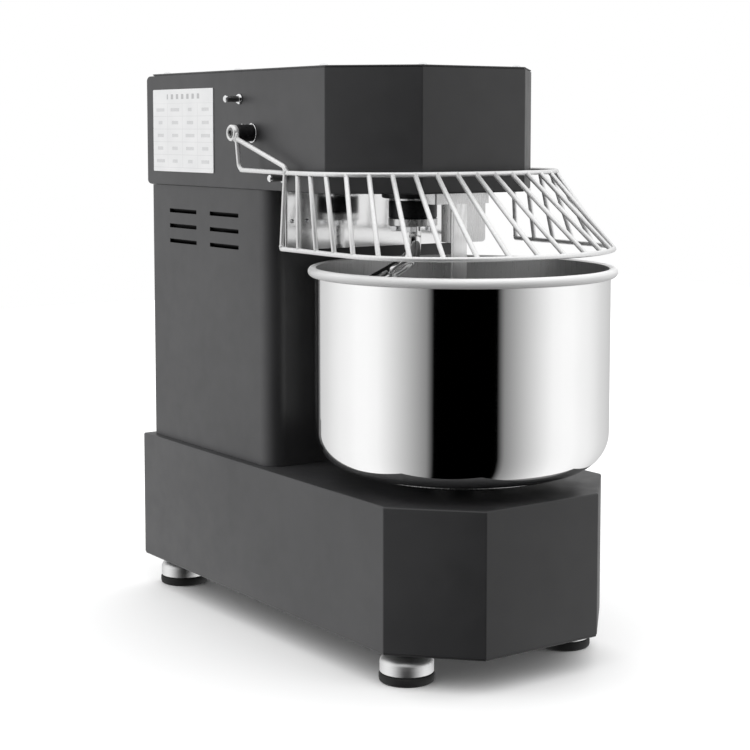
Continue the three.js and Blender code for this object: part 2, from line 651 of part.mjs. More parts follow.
add('motor_body', motorBody(), 'iron');
add('motor_plate', motorPlate(), 'steel');
add('motor_shaft', keyedShaft(MOTOR.shaftR, 0, MOTOR.y, MOTOR.top + GAP, MOTOR.shaftTop), 'steel');
add('motor_pulley', groovedPulley(BELT.small, MOTOR.shaftR, MOTOR.y), 'iron');
add('drive_belt', driveBelt(), 'rubber');

add('spindle_shaft', keyedShaft(SPINDLE.r, 0, SPINDLE.y, HUB.bottom, SPINDLE.top), 'steel');
add('spindle_sprocket', sprocket(TEETH.spindle, SPINDLE.r, 0, SPINDLE.y, CHAIN_Z.head, 24), 'steel');
add('spindle_bearing', spindleBearing(), 'iron');
add('spiral_hub', spiralHub(), 'blackPlastic');
add('spiral_hook', spiralHook(), 'stainless');
add('divider_socket', dividerSocket(), 'steel');
add('divider_bar', dividerBlade(), 'stainless');

add('cable_gland', cableGland(), 'blackPlastic');
add('switch_plate', switchPlate(), 'blackPlastic');
add('start_button', pushButton(1), 'green');
add('stop_button', pushButton(-1), 'red');

export default mixer;
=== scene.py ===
import json
import math

import bmesh
import bpy
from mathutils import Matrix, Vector


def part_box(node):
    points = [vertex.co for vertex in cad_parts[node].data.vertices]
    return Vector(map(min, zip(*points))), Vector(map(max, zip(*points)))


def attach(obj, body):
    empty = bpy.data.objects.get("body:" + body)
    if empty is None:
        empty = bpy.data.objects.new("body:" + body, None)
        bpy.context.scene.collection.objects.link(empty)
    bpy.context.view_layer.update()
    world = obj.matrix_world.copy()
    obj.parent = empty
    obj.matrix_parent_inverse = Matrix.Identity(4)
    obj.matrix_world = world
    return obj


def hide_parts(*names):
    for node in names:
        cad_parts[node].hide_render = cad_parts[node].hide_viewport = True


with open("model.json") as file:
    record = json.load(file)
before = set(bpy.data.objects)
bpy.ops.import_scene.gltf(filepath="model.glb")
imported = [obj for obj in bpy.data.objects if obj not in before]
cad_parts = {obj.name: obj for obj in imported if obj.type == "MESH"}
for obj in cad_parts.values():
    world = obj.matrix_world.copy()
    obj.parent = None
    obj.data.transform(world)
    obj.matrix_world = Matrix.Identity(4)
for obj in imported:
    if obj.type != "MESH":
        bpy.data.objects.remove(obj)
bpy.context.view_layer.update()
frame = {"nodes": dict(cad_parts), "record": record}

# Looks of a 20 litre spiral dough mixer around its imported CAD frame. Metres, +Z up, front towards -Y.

MM = 0.001

# ---------------------------------------------------------------- driving dimensions
SHEET = 2 * MM  # thickness of the housings
FOLD = 3 * MM  # outer radius of their upright folds
GAP = 0.3 * MM  # clearance between neighbours
PAST = 10 * MM  # how far a cutting tool reaches past what it cuts
BASE_CUT = (84 * MM, 87 * MM)  # front corners cut off the base, across and along
HEAD_CUT = (82.3 * MM, 86.3 * MM)
TRAY = 3.1 * MM  # height of the folded tray that closes the base from below
OPENING = {"half": 130 * MM, "front": 59.6 * MM, "rear": 303 * MM}  # from the column into base and head
COLUMN_CORNER = 25 * MM
HEAD_REAR_CORNER = 12 * MM
VENT_STARTS = (106.2 * MM, 218.8 * MM)
VENT_HEIGHTS = (498.6 * MM, 519.6 * MM, 540.6 * MM)
VENT_SIZE = (76 * MM, 5.6 * MM)
VENTS = [(y, z) for y in VENT_STARTS for z in VENT_HEIGHTS]
BACK_VENTS = (470 * MM, 490 * MM, 510 * MM, 530 * MM)
BOWL_R = 182 * MM
BOWL_WALL = 1.6 * MM
BOWL_CORNER = 47 * MM
BEAD_R = 6 * MM
BEAD_OUT = 2.5 * MM  # middle of the rolled rim outside the bowl's wall
HOOK_BAR = 10.5 * MM
HOOK_SWEEP = 62 * MM
WIRE_R = 3 * MM
RODS = 22
EYE_X = 190 * MM
# Rails run straight from back to mid, then round the front; curve 2 is half an ellipse, more is boxier.
RAIL_BACK = -46 * MM
RAIL_TOP = {"half": 180 * MM, "mid": -90 * MM, "depth": 121.5 * MM, "curve": 2.4, "z": 600 * MM}
RAIL_LOW = {"half": 186 * MM, "mid": -191 * MM, "depth": 147 * MM, "curve": 2, "z": 507 * MM}
CAMERA = {"place": (-1.2981, -1.8357, 0.6549), "yaw": 34.972, "pitch": 5.224, "lens": 82.4, "shift": -0.12}
FACING = (-0.573, -0.819)  # level direction from the object to the camera
# Brightness of the studio walls by degrees round from the camera's side, the same at every height.
WALLS = [
    (0, 0.0), (24, 0.0), (29.5, 0.25), (40, 0.43), (50, 0.61), (60, 0.79), (70, 0.95), (80, 1.0), (90, 1.0),
    (100, 0.94), (110, 0.9), (120, 0.82), (130, 0.72), (140, 0.665), (150, 0.61), (160, 0.57), (180, 0.57),
]

SIDES = {"left": -1, "right": 1}
SLOT_OF = {row["node"]: row["material_slot"] for row in frame["record"]["subparts"]}
BODY_OF = {node: body for body, group in frame["record"]["behaviour"]["bodies"].items() for node in group}


def centre(node):
    low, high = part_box(node)
    return (low + high) / 2


# ---------------------------------------------------------------- node helpers
class Nodes:
    """Shorthand calls for building a node tree."""

    def __init__(self, tree):
        self.tree = tree

    def node(self, kind, **settings):
        made = self.tree.nodes.new(kind)
        for name, value in settings.items():
            setattr(made, name, value)
        return made

    def feed(self, target, value):
        if isinstance(value, (int, float, tuple)):
            target.default_value = value
        else:
            self.tree.links.new(value, target)

    def maths(self, operation, *values):
        made = self.node("ShaderNodeMath", operation=operation)
        for slot, value in zip(made.inputs, values):
            self.feed(slot, value)
        return made.outputs[0]

    def times(self, a, b):
        return self.maths("MULTIPLY", a, b)

    def ranged(self, value, low, high, start=0.3, end=0.7):
        made = self.node("ShaderNodeMapRange")
        self.feed(made.inputs["Value"], value)
        for name, number in (("From Min", start), ("From Max", end), ("To Min", low), ("To Max", high)):
            made.inputs[name].default_value = number
        return made.outputs["Result"]

    def ramp(self, value, *stops):
        made = self.node("ShaderNodeValToRGB")
        self.feed(made.inputs["Fac"], value)
        band = made.color_ramp.elements
        while len(band) < len(stops):
            band.new(0.5)
        for point, (at, tone) in zip(band, stops):
            point.position = at
            point.color = (*tone, 1) if isinstance(tone, tuple) else (tone, tone, tone, 1)
        return made.outputs["Color"]

    def mix(self, factor, a, b):
        made = self.node("ShaderNodeMix", data_type="RGBA")
        self.feed(made.inputs[0], factor)
        self.feed(made.inputs[6], a)
        self.feed(made.inputs[7], b)
        return made.outputs[2]


class Look(Nodes):
    """A new material; noise is laid out in the object's own coordinates."""

    def __init__(self, name):
        self.material = bpy.data.materials.new(name)
        self.material.use_nodes = True
        super().__init__(self.material.node_tree)
        self.shader = self.tree.nodes["Principled BSDF"]
        self.place = self.node("ShaderNodeTexCoord").outputs["Object"]

    def set(self, **values):
        for name, value in values.items():
            self.shader.inputs[name.replace("_", " ")].default_value = value
        return self

    def noise(self, scale, detail=3.0, rough=0.5, stretch=None):
        made = self.node("ShaderNodeTexNoise")
        for name, value in (("Scale", scale), ("Detail", detail), ("Roughness", rough)):
            made.inputs[name].default_value = value
        place = self.place
        if stretch:
            stretched = self.node("ShaderNodeVectorMath", operation="MULTIPLY")
            self.feed(stretched.inputs[0], place)
            stretched.inputs[1].default_value = stretch
            place = stretched.outputs[0]
        self.feed(made.inputs["Vector"], place)
        return made.outputs["Fac"]

    def colour(self, value):
        self.feed(self.shader.inputs["Base Color"], value)

    def roughness(self, value):
        self.feed(self.shader.inputs["Roughness"], value)

    def bump(self, *layers):
        """Each layer is (height, distance in metres, strength)."""
        normal = None
        for height, distance, strength in layers:
            made = self.node("ShaderNodeBump")
            made.inputs["Strength"].default_value = strength
            made.inputs["Distance"].default_value = distance
            self.feed(made.inputs["Height"], height)
            if normal is not None:
                self.feed(made.inputs["Normal"], normal)
            normal = made.outputs["Normal"]
        self.feed(self.shader.inputs["Normal"], normal)


# ---------------------------------------------------------------- materials
def surface(name, grain, tones, rough, relief, patches=None, **settings):
    """Material whose tone, gloss and relief follow noise.

    grain and patches are noise arguments; the tones follow the patches when given, else the grain.
    tones are (position, tone) pairs, rough is (low, high), relief is (distance in metres, strength).
    """
    look = Look(name).set(**settings)
    fine = look.noise(*grain)
    look.colour(look.ramp(look.noise(*patches) if patches else fine, *tones))
    look.roughness(look.ranged(fine, *rough))
    look.bump((fine, *relief))
    return look.material


def powder_coat(name="powder_coat", shade=1.0, specular=0.5):
    """Satin black powder coat: orange peel, soft blotches and a little settled dust."""
    look = Look(name).set(Metallic=0.0, IOR=1.5, Specular_IOR_Level=specular)
    tones = ((0.022, 0.022, 0.023), (0.029, 0.029, 0.030))
    # shade below 1 scales both tones down: painted shade, for a copy of the coat that stands where no light
    # falls.
    dark, light = (tuple(shade * part for part in tone) for tone in tones)
    tone = look.ramp(look.noise(5, 4), (0.3, dark), (0.7, light))
    speck = look.ranged(look.noise(2600, 1), 0, 0.07, 0.62, 0.75)
    look.colour(look.mix(speck, tone, (0.16, 0.16, 0.165, 1)))
    look.roughness(look.ranged(look.noise(38, 4), 0.36, 0.45))
    look.bump((look.noise(950, 2), 0.00006, 0.55), (look.noise(60, 2), 0.00025, 0.18))
    return look.material


def mirror_steel(name, tone, rough):
    """Mirror polished stainless with faint polishing lines running round the bowl."""
    lines = (60, 3, 0.6, (1, 1, 40))
    tones = ((0.3, tone - 0.02), (0.7, tone))
    return surface(name, lines, tones, rough, (0.00001, 0.10), (14, 4), Metallic=1.0)


def brushed_steel(name, stretch, tone, rough, metallic=1.0):
    """Stainless brushed in one direction, the direction in which stretch is small."""
    look = Look(name).set(Metallic=metallic)
    grain = look.noise(26, 5, 0.65, stretch=stretch)
    look.colour(look.ramp(grain, (0.3, tone * 0.92), (0.7, tone * 1.06)))
    look.roughness(look.ranged(grain, *rough))
    look.bump((grain, 0.00003, 0.35), (look.noise(30, 3), 0.0001, 0.1))
    return look.material


def wire_steel(name, tone):
    """Electropolished wire: bright, with a finely mottled drawn surface."""
    tones = ((0.25, tone * 0.87), (0.7, tone))
    return surface(name, (420, 4, 0.6), tones, (0.38, 0.5), (0.00008, 0.35), Metallic=0.7)


def machined_steel(name, tone):
    """Turned steel with fine lines round the axis."""
    tones = ((0.3, tone * 0.75), (0.7, tone * 1.1))
    return surface(name, (70, 4, 0.6, (1, 1, 14)), tones, (0.26, 0.44), (0.00005, 0.4), Metallic=1.0)


def glossy_plastic(name, dark, light):
    look = Look(name).set(Metallic=0.0, IOR=1.5, Coat_Weight=0.4, Coat_Roughness=0.08)
    look.colour(look.ramp(look.noise(45, 3), (0.3, dark), (0.7, light)))
    look.roughness(look.ranged(look.noise(700, 2), 0.2, 0.3))
    look.bump((look.noise(900, 2), 0.00003, 0.3))
    return look.material


def printed_label(low, high):
    """White foil with faint ruled cells and a plain grey dash in each, no lettering."""
    look = Look("printed_label").set(Metallic=0.0, IOR=1.5)
    parts = look.node("ShaderNodeSeparateXYZ")
    look.feed(parts.inputs[0], look.place)
    across = look.ranged(parts.outputs["Y"], 1, 0, low.y, high.y)
    down = look.ranged(parts.outputs["Z"], 1, 0, low.z, high.z)
    columns, rows, title, foot_margin = 4, 5, 0.17, 0.05
    u = look.times(across, columns)
    v = look.times(look.maths("DIVIDE", look.maths("SUBTRACT", down, title), 1 - title - foot_margin), rows)
    inside = look.times(look.maths("GREATER_THAN", v, 0.0), look.maths("LESS_THAN", v, rows + 0.02))
    fu, fv = look.maths("FRACT", u), look.maths("FRACT", v)

    def near(value, middle, half):
        return look.maths("LESS_THAN", look.maths("ABSOLUTE", look.maths("SUBTRACT", value, middle)), half)

    def stripes(value, count, share):
        return look.maths("GREATER_THAN", look.maths("FRACT", look.times(value, count)), share)

    cell = look.node("ShaderNodeCombineXYZ")
    look.feed(cell.inputs[0], look.maths("FLOOR", u))
    look.feed(cell.inputs[1], look.maths("FLOOR", v))
    chance = look.node("ShaderNodeTexWhiteNoise", noise_dimensions="2D")
    look.feed(chance.inputs["Vector"], cell.outputs[0])
    width = look.ranged(chance.outputs["Value"], 0.1, 0.3, 0, 1)
    upright = look.maths("SUBTRACT", 1.0, near(fu, 0.5, 0.492))
    level = look.maths("SUBTRACT", 1.0, near(fv, 0.5, 0.485))
    rules = look.times(look.maths("MAXIMUM", upright, level), 0.28)
    dash = look.times(near(fu, 0.5, width), look.times(near(fv, 0.5, 0.13), stripes(fu, 14, 0.4)))
    heading = look.times(near(down, 0.09, 0.03), near(across, 0.52, 0.28))
    heading = look.times(heading, stripes(across, 11.5, 0.55))
    table = look.times(inside, look.maths("MAXIMUM", rules, look.times(dash, 0.5)))
    ink = look.maths("MAXIMUM", table, look.times(heading, 0.62))
    paper = look.ramp(look.noise(30, 3), (0.3, (0.80, 0.805, 0.81)), (0.7, (0.86, 0.862, 0.865)))
    look.colour(look.mix(ink, paper, (0.30, 0.30, 0.31, 1)))
    look.roughness(look.ranged(look.noise(80, 3), 0.3, 0.42))
    look.bump((look.noise(500, 2), 0.00003, 0.3))
    return look.material


PAINT = powder_coat()
VENT_PAINTED_SHADE = powder_coat("vent_painted_shade", 0.15, 0.05)  # darker copy of the coat on the vent blades: painted shade inside the vents, where no light falls
MIRROR = mirror_steel("mirror_steel", 0.96, (0.035, 0.075))
SHIELD = mirror_steel("shield_steel", 0.86, (0.06, 0.13))
HOOK_STEEL = mirror_steel("hook_steel", 0.86, (0.04, 0.09))
BRUSHED = brushed_steel("brushed_steel", (60, 60, 1), 0.72, (0.2, 0.34))
BEAD = brushed_steel("bead_steel", (1, 1, 30), 0.86, (0.42, 0.56), 0.14)
INSIDE = brushed_steel("bowl_inside", (40, 40, 1), 0.72, (0.24, 0.4))
BAR = brushed_steel("bar_steel", (60, 60, 1), 0.85, (0.14, 0.24))
FOOT_CHROME = brushed_steel("foot_chrome", (1, 1, 30), 0.88, (0.34, 0.46))
WIRE = wire_steel("wire_steel", 0.96)
WELD = wire_steel("weld_steel", 0.78)
STEEL = machined_steel("machined_steel", 0.5)
AXLE = machined_steel("axle_steel", 0.25)
CHROME = surface("chrome_plate", (90, 3, 0.5, (1, 1, 18)),
                 ((0.3, (0.86, 0.865, 0.875)), (0.7, (0.93, 0.932, 0.94))),
                 (0.05, 0.13), (0.00002, 0.25), (40, 3), Metallic=1.0)
KNURLED = surface("knurled_steel", (520, 2, 0.7), ((0.4, 0.45), (0.62, 0.9)), (0.16, 0.32), (0.0006, 0.8),
                  Metallic=1.0)
IRON = surface("cast_iron", (520, 5, 0.65), ((0.3, (0.07, 0.073, 0.078)), (0.7, (0.11, 0.114, 0.12))),
               (0.45, 0.68), (0.0003, 0.5), (24, 4), Metallic=0.25)
BLACK_OXIDE = surface("black_oxide", (300, 4, 0.6),
                      ((0.3, (0.010, 0.010, 0.011)), (0.75, (0.034, 0.034, 0.036))),
                      (0.24, 0.46), (0.0001, 0.45), Metallic=0.55)
PLASTIC = surface("moulded_black", (1500, 2), ((0.3, (0.016, 0.016, 0.017)), (0.7, (0.026, 0.026, 0.027))),
                  (0.4, 0.55), (0.00008, 0.5), (30, 3), Metallic=0.0, IOR=1.47)
RUBBER = surface("rubber", (900, 4, 0.7), ((0.3, 0.012), (0.7, 0.024)), (0.6, 0.8), (0.00012, 0.5), (60, 3),
                 Metallic=0.0, IOR=1.45)
GREEN = glossy_plastic("button_green", (0.012, 0.25, 0.05), (0.02, 0.34, 0.075))
RED = glossy_plastic("button_red", (0.42, 0.010, 0.008), (0.52, 0.018, 0.014))
LABEL = printed_label(*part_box("spec_label"))
BUTTONS = {"start_button": GREEN, "stop_button": RED}
BY_SLOT = {
    "black_paint": PAINT, "stainless": MIRROR, "brushed_steel": BRUSHED, "wire": WIRE, "chrome": CHROME,
    "steel": STEEL, "iron": IRON, "black_plastic": PLASTIC, "rubber": RUBBER, "label": LABEL,
    "green_button": GREEN, "red_button": RED,
}


# ---------------------------------------------------------------- mesh helpers
def piece(name, bm, material, node=None, body="frame", slot=None, smooth=40, bevel=None):
    """Turns bm into an object on a body; given a node it rides on the node's body and replaces the node.

    Edges below smooth degrees are shaded soft; bevel is (width, segments).
    """
    bmesh.ops.remove_doubles(bm, verts=bm.verts, dist=1e-7)
    bmesh.ops.recalc_face_normals(bm, faces=bm.faces)
    mesh = bpy.data.meshes.new(name)
    bm.to_mesh(mesh)
    bm.free()
    made = bpy.data.objects.new(name, mesh)
    bpy.context.scene.collection.objects.link(made)
    mesh.materials.append(material)
    mesh.polygons.foreach_set("use_smooth", [True] * len(mesh.polygons))
    if bevel:
        edges = made.modifiers.new("edges", "BEVEL")
        edges.width, edges.segments = bevel
        edges.limit_method = "ANGLE"
        edges.angle_limit = math.radians(smooth)
        edges.harden_normals = True
    else:
        mesh.set_sharp_from_angle(angle=math.radians(smooth))
    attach(made, BODY_OF[node] if node else body)
    if node:
        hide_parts(node)
    return made


def bridge(bm, a, b):
    for i in range(len(a)):
        j = (i + 1) % len(a)
        bm.faces.new((a[i], a[j], b[j], b[i]))


def skin(rings, bm=None):
    """Closed solid through rings of equally many points."""
    bm = bm or bmesh.new()
    rows = [[bm.verts.new(point) for point in ring] for ring in rings]
    for a, b in zip(rows, rows[1:]):
        bridge(bm, a, b)
    bm.faces.new(rows[0][::-1])
    bm.faces.new(rows[-1])
    return bm


def slab(outline, z0, z1, bm=None):
    """Solid with an (x, y) outline."""
    return skin([[(x, y, z) for x, y in outline] for z in (z0, z1)], bm)


def prism_x(outline, x0, x1, bm=None):
    """Solid with a (y, z) outline running along X."""
    return skin([[(x, y, z) for y, z in outline] for x in (x0, x1)], bm)


def prism_y(outline, y0, y1, bm=None):
    """Solid with an (x, z) outline running along Y."""
    return skin([[(x, y, z) for x, z in outline] for y in (y0, y1)], bm)


def rect(a0, a1, b0, b1):
    return [(a0, b0), (a1, b0), (a1, b1), (a0, b1)]


def block(low, high):
    return slab(rect(low[0], high[0], low[1], high[1]), low[2], high[2])


def around(r, h, *pairs):
    """Profile points given in millimetres from radius r and height h."""
    return [(r + a * MM, h + b * MM) for a, b in pairs]


def lathe(profile, at=(0, 0, 0), axis="Z", sides=64, bm=None):
    """Solid of revolution. profile is (radius, height) pairs and starts and ends on the axis or closes."""
    bm = bm or bmesh.new()
    x, y, z = at
    place = {
        "Z": lambda r, h, c, s: (x + r * c, y + r * s, z + h),
        "X": lambda r, h, c, s: (x + h, y + r * c, z + r * s),
        "Y": lambda r, h, c, s: (x + r * s, y + h, z + r * c),
    }[axis]
    turn = [2 * math.pi * i / sides for i in range(sides)]
    rows = []
    for r, h in profile:
        if r < 1e-9:
            rows.append([bm.verts.new(place(0, h, 1, 0))])
        else:
            rows.append([bm.verts.new(place(r, h, math.cos(a), math.sin(a))) for a in turn])
    if len(rows[0]) > 1:
        rows.append(rows[0])
    for a, b in zip(rows, rows[1:]):
        if len(a) == len(b) == sides:
            bridge(bm, a, b)
        elif len(a) == 1 and len(b) == sides:
            for i in range(sides):
                bm.faces.new((a[0], b[(i + 1) % sides], b[i]))
        elif len(a) == sides:
            for i in range(sides):
                bm.faces.new((a[i], a[(i + 1) % sides], b[0]))
    return bm


def drill(radius, reach, at, axis="Z", sides=64):
    """Round tool that cuts a hole, reaching this far each way."""
    return lathe([(0, -reach), (radius, -reach), (radius, reach), (0, reach)], at, axis, sides)


def combine(base, *tools, operation="DIFFERENCE"):
    """The base mesh with each tool mesh cut away, joined on, or cut down to it."""
    made = []
    for bm in (base, *tools):
        bmesh.ops.recalc_face_normals(bm, faces=bm.faces)
        mesh = bpy.data.meshes.new("cutting")
        bm.to_mesh(mesh)
        bm.free()
        made.append(bpy.data.objects.new("cutting", mesh))
        bpy.context.scene.collection.objects.link(made[-1])
    for tool in made[1:]:
        cutting = made[0].modifiers.new("cut", "BOOLEAN")
        cutting.operation, cutting.solver, cutting.object = operation, "EXACT", tool
    view = bpy.context.evaluated_depsgraph_get()
    result = bmesh.new()
    result.from_mesh(made[0].evaluated_get(view).to_mesh())
    for thing in made:
        bpy.data.meshes.remove(thing.data)
    return result


def arc(cx, cy, r, start, end, steps):
    """Points on an arc, in degrees."""
    angles = [math.radians(start + (end - start) * i / steps) for i in range(steps + 1)]
    return [(cx + r * math.cos(a), cy + r * math.sin(a)) for a in angles]


def hexagon(x, y, r):
    return arc(x, y, r, 0, 300, 5)


def rounded(points, radius, steps=5):
    """A 2-D outline with each corner turned into an arc."""
    made = []
    for i, here in enumerate(points):
        p = Vector(here)
        a, b = Vector(points[i - 1]) - p, Vector(points[(i + 1) % len(points)]) - p
        half = a.angle(b) / 2
        reach = radius / math.tan(half)
        start, end = p + a.normalized() * reach, p + b.normalized() * reach
        middle = p + (a.normalized() + b.normalized()).normalized() * (radius / math.sin(half))
        for k in range(steps + 1):
            spoke = (start - middle).lerp(end - middle, k / steps).normalized()
            made.append(tuple(middle + spoke * radius))
    return made


def sweep(points, radius, sides=16, bm=None):
    """Round bar along a list of points with softly rounded ends."""
    points = [Vector(p) for p in points]
    last = len(points) - 1
    tangents = [(points[min(i + 1, last)] - points[max(i - 1, 0)]).normalized() for i in range(last + 1)]
    normal = tangents[0].orthogonal().normalized()
    ends = ((0.495, 0.45), (0.33, 0.8))  # each end's last rings: how far out and how wide, in radii
    rings = []

    def ring(at, tangent, size):
        side = tangent.cross(normal)
        turn = [2 * math.pi * k / sides for k in range(sides)]
        rings.append([at + (normal * math.cos(a) + side * math.sin(a)) * size for a in turn])

    for i, (p, t) in enumerate(zip(points, tangents)):
        normal = (normal - t * normal.dot(t)).normalized()
        for out, size in ends if i == 0 else ():
            ring(p - t * radius * out, t, radius * size)
        ring(p, t, radius)
        for out, size in ends[::-1] if i == last else ():
            ring(p + t * radius * out, t, radius * size)
    return skin(rings, bm)


def smooth_path(points, steps=8):
    """Catmull-Rom curve through the points."""
    p = [Vector(q) for q in points]
    p = [p[0] * 2 - p[1], *p, p[-1] * 2 - p[-2]]
    made = []
    for a, b, c, d in zip(p, p[1:], p[2:], p[3:]):
        slope, bend, twist = c - a, 2 * a - 5 * b + 4 * c - d, 3 * b - a - 3 * c + d
        for t in (k / steps for k in range(steps)):
            made.append(0.5 * (2 * b + slope * t + bend * t ** 2 + twist * t ** 3))
    return [*made, p[-2]]


def bent_path(points, radius, steps=6):
    """Straight runs joined by arcs, as bent wire is."""
    p = [Vector(q) for q in points]
    made = [p[0]]
    for a, b, c in zip(p, p[1:], p[2:]):
        u, v = (a - b).normalized(), (c - b).normalized()
        half = u.angle(v) / 2
        reach = min(radius / math.tan(half), (a - b).length * 0.45, (c - b).length * 0.45)
        start, end = b + u * reach, b + v * reach
        for t in (k / steps for k in range(steps + 1)):
            made.append(start.lerp(b, t).lerp(b.lerp(end, t), t))
    return [*made, p[-1]]


def screw_set(name, places, axis, sign, r, slotted=True):
    """One piece with a low domed screw or rivet head standing at each place."""
    profile = [(0, 0), (r, 0), (r, 0.5 * MM), (r * 0.92, 1.2 * MM), (r * 0.7, 2.0 * MM), (r * 0.4, 2.45 * MM)]
    profile += [(r * 0.36, 1.5 * MM), (0, 1.5 * MM)] if slotted else [(0, 2.6 * MM)]
    heads = bmesh.new()
    for place in places:
        lathe([(a, sign * b) for a, b in profile], place, axis, 24, heads)
    piece(name, heads, CHROME, slot="steel")


def ball(bm, at, radius, squash=(1, 1, 1)):
    made = bmesh.ops.create_uvsphere(bm, u_segments=12, v_segments=8, radius=radius)
    for vertex in made["verts"]:
        vertex.co = Vector([c * s for c, s in zip(vertex.co, squash)]) + Vector(at)


# ---------------------------------------------------------------- base
base_low, base_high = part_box("base_housing")
column_low, column_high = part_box("column_housing")
head_low, head_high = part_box("head_housing")


def housing(low, high, cut, rows):
    """Closed solid with cut front corners and folded edges; rows are (inset, z) from low to high."""
    cx, cy = cut
    slant = math.hypot(cx, cy)
    rings = []
    for inset, z in rows:
        half, front, rear = high.x - inset, low.y + inset, high.y - inset
        nose = high.x - cx - inset * (slant - cx) / cy
        cheek = low.y + cy + inset * (slant - cy) / cx
        outline = [(-half, rear), (-half, cheek), (-nose, front), (nose, front), (half, cheek), (half, rear)]
        rings.append([(x, y, z) for x, y in rounded(outline, max(FOLD - inset, 0.4 * MM), 4)])
    return skin(rings)


def rolled_edge(radius, z, up=True, steps=4):
    """Insets and heights of an edge rolled over with this radius."""
    turn = [math.pi / 2 * i / steps for i in range(steps + 1)]
    rows = [(radius * (1 - math.cos(a)), z + (1 if up else -1) * radius * (math.sin(a) - 1)) for a in turn]
    return rows if up else rows[::-1]


def column_opening(z):
    half, front, rear = OPENING.values()
    return block((-half, front, z - PAST), (half, rear, z + PAST))


def base_shell():
    low, high = base_low, base_high
    outer = housing(low, high, BASE_CUT, [(0, low.z + TRAY), *rolled_edge(2.5 * MM, high.z)])
    inner = housing(low, high, BASE_CUT, [(SHEET, low.z), (SHEET, high.z - SHEET)])
    bowl = centre("bowl_turntable")
    hub_hole = drill(43 * MM, PAST, (bowl.x, bowl.y, high.z))
    piece("base_shell", combine(outer, inner, hub_hole, column_opening(high.z)), PAINT, "base_housing")


def base_tray():
    rows = around(0, base_low.z, (2, 0), (1.1, 0.4), (0.8, 1.1), (0.8, 2.6))
    piece("base_tray", housing(base_low, base_high, BASE_CUT, rows), PAINT, "base_bottom_plate")


# ---------------------------------------------------------------- column
def sheet_u(half, front, rear, bend, thick):
    """Outline of a sheet bent round two upright corners, open at the back."""
    def edge(w, r):
        turn = [math.pi / 20 * i for i in range(11)]
        right = [(half - bend + r * math.sin(a), front + bend - r * math.cos(a)) for a in turn]
        left = [(-x, y) for x, y in right[::-1]]
        return [(-w, rear), *left, *right, (w, rear)]
    return edge(half, bend) + edge(half - thick, bend - thick)[::-1]


def column_shell():
    low, high = column_low, column_high
    body = slab(sheet_u(high.x, low.y, high.y, COLUMN_CORNER, SHEET), low.z, high.z)
    length, height = VENT_SIZE
    outlines = [rounded(rect(y, y + length, z - height / 2, z + height / 2), 0.8 * MM, 2) for y, z in VENTS]
    slots = [prism_x(outline, low.x - PAST, high.x + PAST) for outline in outlines]
    piece("column_shell", combine(body, *slots), PAINT, "column_housing")


def column_louvres():
    """Slanting blades behind the vents, which hide the inside of the column."""
    blades = bmesh.new()
    length, height = VENT_SIZE
    reach, drop, thick = 9 * MM, 11 * MM, MM
    for side in SIDES.values():
        wall = side * (column_high.x - SHEET + 0.2 * MM)
        inner = wall - side * reach
        for y, z in VENTS:
            top = z + height / 2 + 0.9 * MM
            section = [(wall, top), (inner, top - drop), (inner, top - drop - thick), (wall, top - thick)]
            prism_y(section, y - 2 * MM, y + length + 2 * MM, blades)
    # The blades take the darkened copy of the coat: painted shade behind the vents.
    piece("column_louvres", blades, VENT_PAINTED_SHADE, slot="black_paint")


def hood(bm, at, half, depth):
    """Pressed hood over a slot: a hollow quarter barrel that closes towards its ends."""
    x, y, z = at
    turn = [math.pi / 2 * k / 5 for k in range(6)]

    def quarter(size):
        return [(y + size * math.sin(a), z + size * (math.cos(a) - 0.15) * 0.8) for a in turn]

    rings = []
    for t in (-1 + 2 * i / 12 for i in range(13)):
        size = max(depth * math.sqrt(1 - abs(t) ** 6), 0.6 * MM)
        section = quarter(size) + quarter(max(size - 1.2 * MM, 0.2 * MM))[::-1]
        rings.append([(x + half * t, b, c) for b, c in section])
    skin(rings, bm)


def column_back():
    low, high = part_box("column_rear_cover")
    half, height = 60 * MM, 3 * MM
    outlines = [rounded(rect(-half, half, z - height, z + height), 2.9 * MM, 4) for z in BACK_VENTS]
    cuts = [prism_y(outline, low.y - PAST, high.y + PAST) for outline in outlines]
    gland = centre("cable_gland")
    cuts.append(drill(9.3 * MM, 2 * PAST, (gland.x, high.y, gland.z), "Y", 32))
    plate = prism_y(rounded(rect(low.x, high.x, low.z, high.z), 1.5 * MM, 3), low.y, high.y)
    piece("column_back", combine(plate, *cuts), PAINT, "column_rear_cover")
    hoods = bmesh.new()
    for z in BACK_VENTS:
        hood(hoods, (0.0, high.y, z + height), half + 2 * MM, 7 * MM)
    piece("column_back_louvres", hoods, PAINT, slot="black_paint")
    heights = (low.z + 14 * MM, (low.z + high.z) / 2, high.z - 14 * MM)
    places = [(x, high.y, z) for x in (low.x + 9 * MM, high.x - 9 * MM) for z in heights]
    screw_set("column_back_screws", places, "Y", 1, 4 * MM)


# ---------------------------------------------------------------- head
def side_profile(low, high, radius):
    """Head seen from the side, rounded at its two rear corners, in (y, z)."""
    front = low.y - 2 * PAST
    lower = arc(high.y - radius, low.z + radius, radius, -90, 0, 6)
    upper = arc(high.y - radius, high.z - radius, radius, 0, 90, 6)
    return [(front, low.z), *lower, *upper, (front, high.z)]


